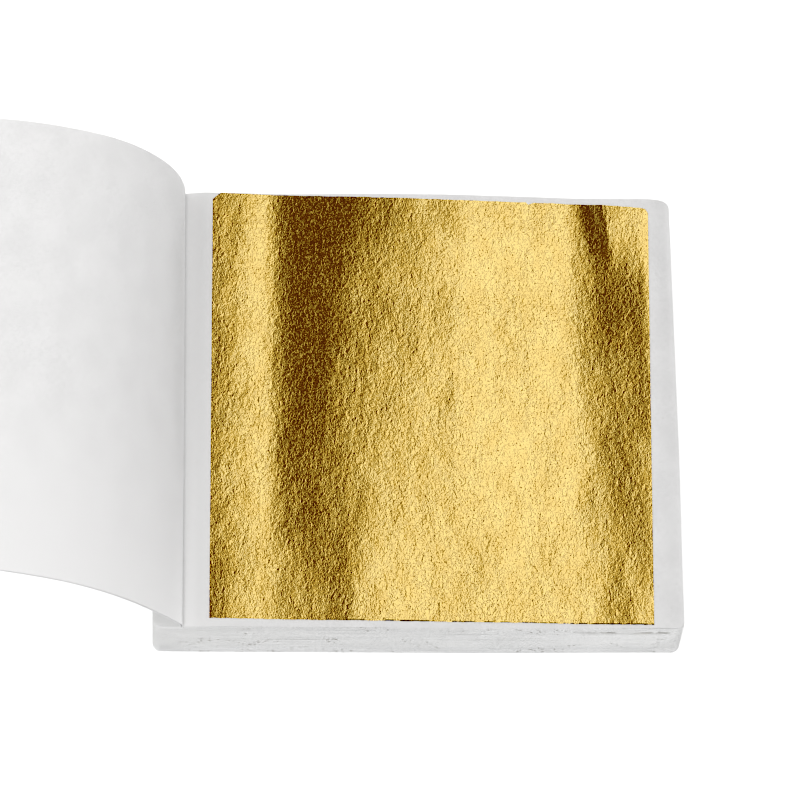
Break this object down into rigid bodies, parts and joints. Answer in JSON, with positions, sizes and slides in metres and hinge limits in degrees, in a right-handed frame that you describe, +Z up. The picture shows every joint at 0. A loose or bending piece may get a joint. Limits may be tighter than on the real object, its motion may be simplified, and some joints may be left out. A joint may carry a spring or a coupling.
{
  "type": "gold leaf booklet",
  "caption": "Open booklet of imitation gold leaf: a thick stitched block of paper interleaves, a metal leaf lying on the page in view, and the cover and first interleaf curled back.",
  "frame": {"origin": "middle of the underside of the back cover, under the closed block", "axes": "+X from the spine to the fore-edge, +Y along the spine away from the reader, +Z up through the block"},
  "size_m": [0.1679, 0.0876, 0.0397],
  "materials": {
    "paper": "smooth uncoated thin paper",
    "card": "plain white thin card",
    "gold_leaf": "crinkled bright metal leaf",
    "wire": "drawn galvanised wire"
  },
  "bodies": {
    "block": {"interleaves_01": "paper", "interleaves_02": "paper", "interleaves_03": "paper", "interleaves_04": "paper", "interleaves_05": "paper", "interleaves_06": "paper", "interleaves_07": "paper", "interleaves_08": "paper", "interleaves_09": "paper", "interleaves_10": "paper", "top_interleaf": "paper", "turned_interleaf_stub": "paper", "back_cover": "card", "front_cover_stub": "card", "gold_leaves_01": "gold_leaf", "gold_leaves_02": "gold_leaf", "gold_leaves_03": "gold_leaf", "gold_leaves_04": "gold_leaf", "gold_leaves_05": "gold_leaf", "gold_leaves_06": "gold_leaf", "gold_leaves_07": "gold_leaf", "gold_leaves_08": "gold_leaf", "gold_leaves_09": "gold_leaf", "gold_leaves_10": "gold_leaf", "wire_stitches": "wire"},
    "cover": {"front_cover": "card"},
    "page": {"turned_interleaf": "paper"},
    "leaf": {"top_gold_leaf": "gold_leaf"}
  },
  "joints": [
    {"name": "cover_turn", "type": "hinge", "parent": "block", "child": "cover", "pos_m": [-0.0423, 0, 0.01125], "axis": [0, 1, 0], "range_deg": [-18, 80]},
    {"name": "page_turn", "type": "hinge", "parent": "block", "child": "page", "pos_m": [-0.0423, 0, 0.01125], "axis": [0, 1, 0], "range_deg": [-18, 80]},
    {"name": "leaf_slide", "type": "slide", "parent": "block", "child": "leaf", "axis": [0, -1, 0], "range_m": [0, 0.09]}
  ],
  "couplings": [
    {"joint": "page_turn", "follows": "cover_turn", "ratio": 1}
  ]
}
